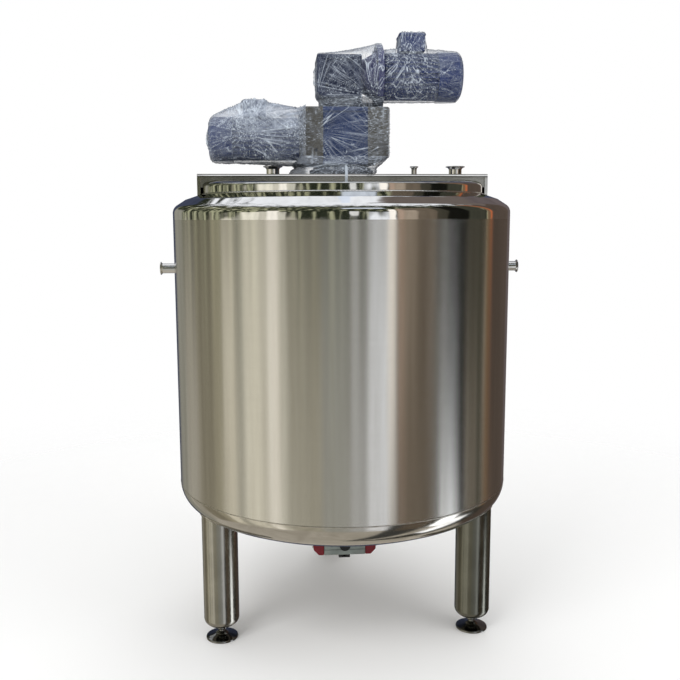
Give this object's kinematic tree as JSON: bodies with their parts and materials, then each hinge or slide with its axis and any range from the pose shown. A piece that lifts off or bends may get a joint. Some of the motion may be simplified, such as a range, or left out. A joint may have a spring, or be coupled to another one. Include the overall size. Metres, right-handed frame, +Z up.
{
  "type": "mixing tank",
  "caption": "Upright jacketed stainless mixing tank on tube legs, with a bridge, stacked geared motors and a valve with an air actuator under its dished bottom.",
  "frame": {"origin": "on the floor under the tank's axis", "axes": "+Z up along the tank's axis, +X along the bridge towards the upper motor, -Y towards the front leg pair and the actuator"},
  "size_m": [1.416, 1.3, 2.2779],
  "materials": {
    "brushed_stainless": "brushed, upright grain",
    "polished_stainless": "mirror polished stainless steel",
    "pipe_stainless": "satin stainless steel",
    "motor_blue": "blue machine enamel",
    "casting_grey": "grey casting",
    "actuator_alloy": "grey green anodised",
    "actuator_red": "dark red powder coat",
    "black_plastic": "black plastic"
  },
  "bodies": {
    "tank": {"jacket_wall": "brushed_stainless", "bottom_head": "brushed_stainless", "top_shoulder": "polished_stainless", "inner_vessel": "polished_stainless", "lid_front": "polished_stainless", "lid_back": "polished_stainless", "bridge_top_plate": "pipe_stainless", "bridge_web_front": "pipe_stainless", "bridge_web_back": "pipe_stainless", "bridge_end_left": "pipe_stainless", "bridge_end_right": "pipe_stainless", "top_nozzle_small": "pipe_stainless", "top_nozzle_large": "pipe_stainless", "top_nozzle_left": "pipe_stainless", "side_nozzle_left": "pipe_stainless", "side_nozzle_right": "pipe_stainless", "outlet_pipe": "pipe_stainless", "outlet_ferrule": "pipe_stainless", "valve_body": "pipe_stainless", "actuator_bracket": "pipe_stainless", "leg_front_left": "pipe_stainless", "leg_front_right": "pipe_stainless", "leg_rear": "pipe_stainless", "foot_front_left": "pipe_stainless", "foot_front_right": "pipe_stainless", "foot_rear": "pipe_stainless", "lower_gearbox": "motor_blue", "lower_motor_body": "motor_blue", "lower_fan_cowl": "motor_blue", "lower_terminal_box": "motor_blue", "upper_gearbox": "motor_blue", "upper_motor_body": "motor_blue", "upper_fan_cowl": "motor_blue", "upper_terminal_box": "motor_blue", "drive_flange": "casting_grey", "lower_motor_flange": "casting_grey", "upper_adapter": "casting_grey", "upper_motor_flange": "casting_grey", "actuator_body": "actuator_alloy", "actuator_cap_left": "actuator_red", "actuator_cap_right": "actuator_red", "air_port_block": "black_plastic"},
    "valve": {"valve_disc": "pipe_stainless", "position_indicator": "black_plastic"}
  },
  "joints": [
    {"name": "valve_turn", "type": "hinge", "parent": "tank", "child": "valve", "pos_m": [0, -0.088, 0.2941], "axis": [0, 1, 0], "range_deg": [0, 90]}
  ]
}
